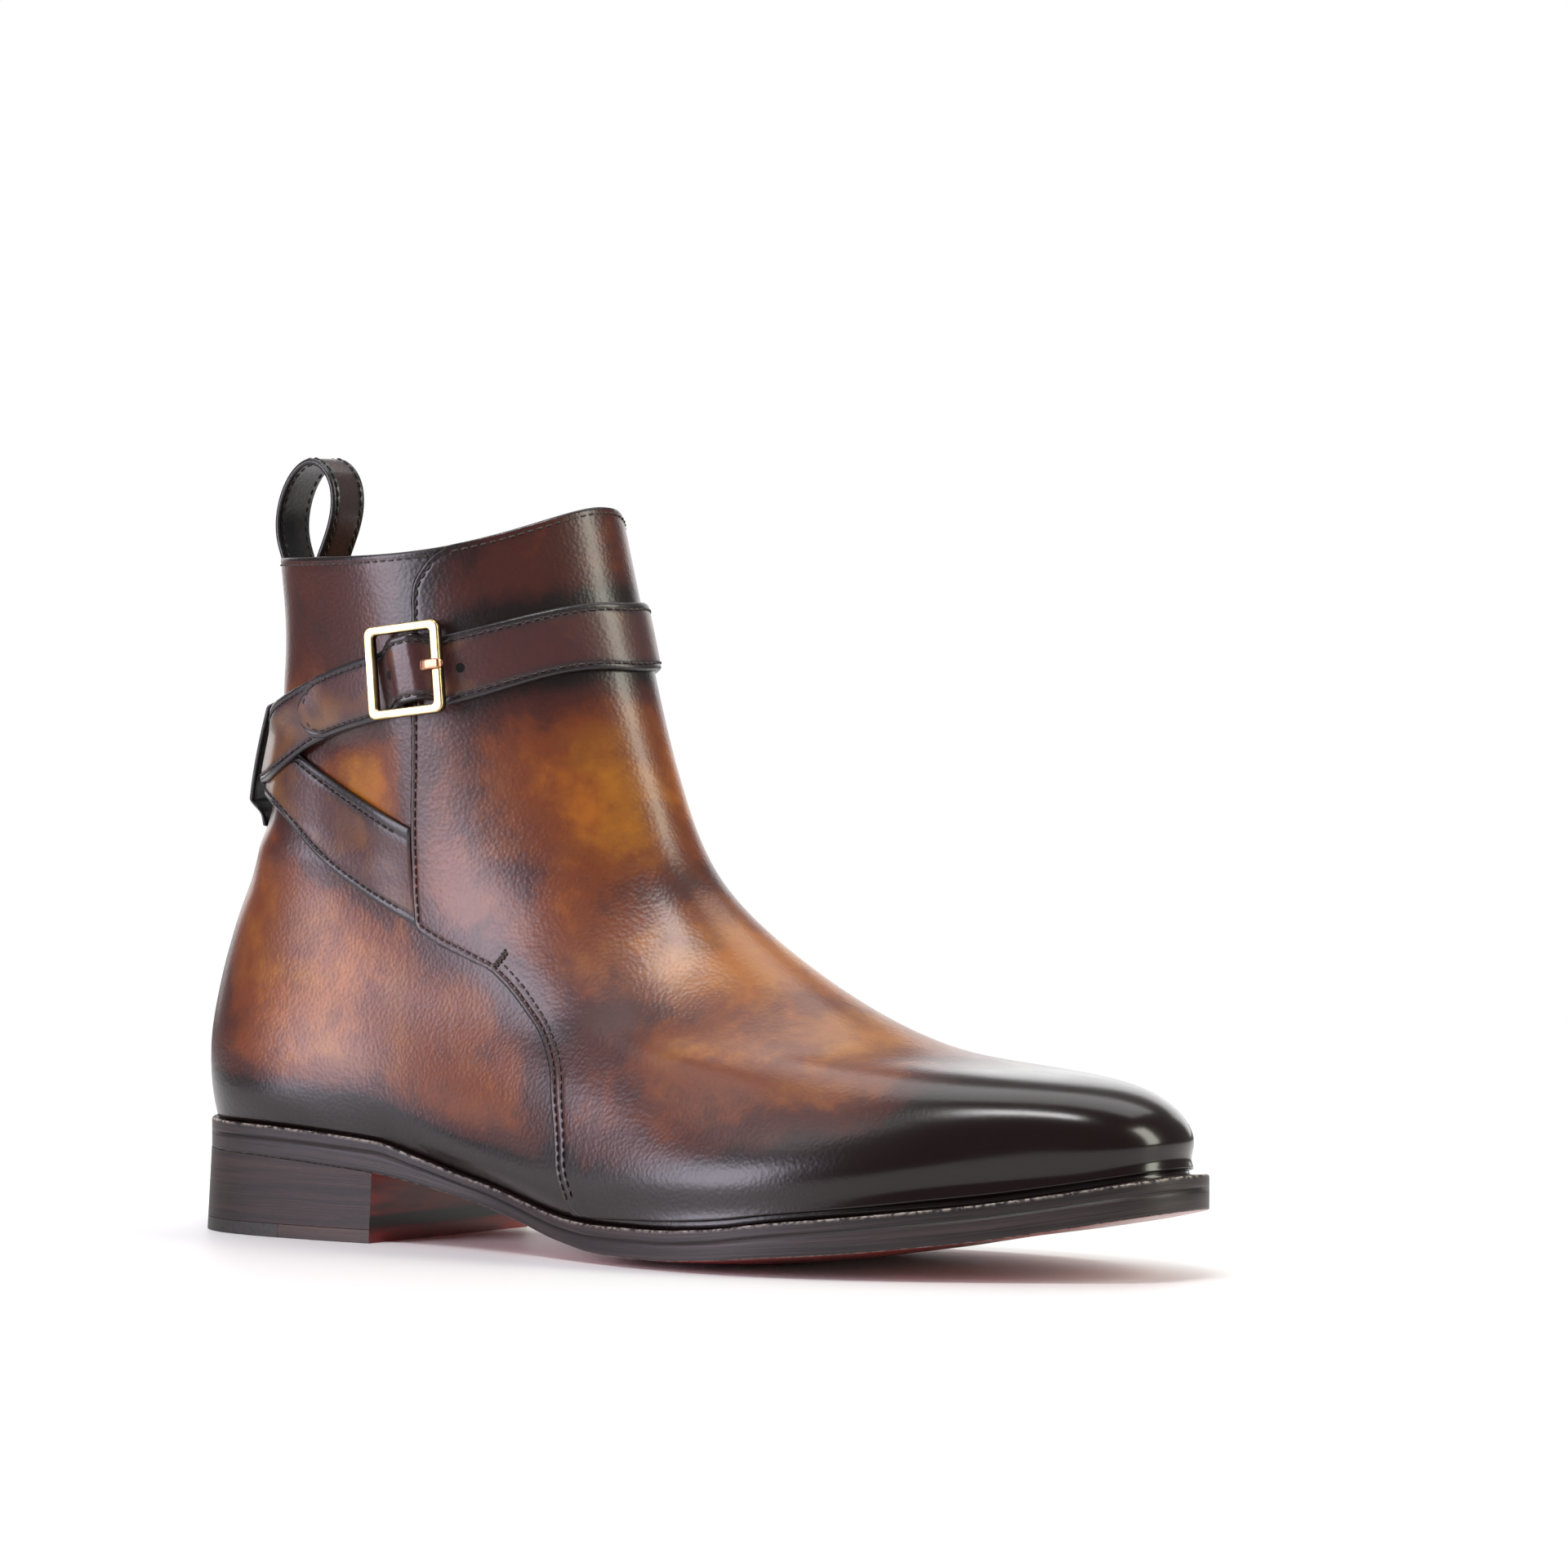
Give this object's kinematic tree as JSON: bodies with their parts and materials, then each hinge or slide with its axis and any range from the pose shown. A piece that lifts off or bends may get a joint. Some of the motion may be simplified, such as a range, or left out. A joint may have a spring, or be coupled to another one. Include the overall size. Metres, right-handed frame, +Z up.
{
  "type": "jodhpur boot",
  "caption": "Plain-toe leather ankle boot with a strap wound round the ankle to a side buckle, a pull loop at the back, a welted leather sole and a stacked heel.",
  "frame": {"origin": "on the floor, at the middle of the heel's rubber top piece, where the heel rests", "axes": "+X from heel to toe, +Y to the inner side of the foot, +Z up"},
  "size_m": [0.3048, 0.0993, 0.2057],
  "materials": {
    "upper_leather": "burnished calf leather, brown patina darkening to the edges, high gloss at the toe",
    "strap_leather": "dark burnished calf leather, stitched along both edges",
    "sole_leather": "sole leather, red painted underside, dark burnished edge",
    "welt_leather": "dark burnished welt, fine lines along the edge",
    "heel_leather": "stacked leather, dark burnished, red front face",
    "top_lift_leather": "brown burnished leather",
    "heel_rubber": "matt black rubber",
    "insole_leather": "smooth tan lining leather",
    "buckle_brass": "antique brass, softly polished"
  },
  "bodies": {
    "root": {"outsole": "sole_leather", "welt": "welt_leather", "insole": "insole_leather", "heel_stack": "heel_leather", "heel_rubber": "heel_rubber", "heel_top_piece": "top_lift_leather", "upper": "upper_leather", "front_panel": "upper_leather", "back_stay": "strap_leather", "back_keeper": "strap_leather", "strap_long": "strap_leather", "strap_buckle": "strap_leather", "pull_loop": "strap_leather", "buckle_frame": "buckle_brass", "buckle_bar": "buckle_brass", "buckle_prong": "buckle_brass"}
  },
  "joints": []
}
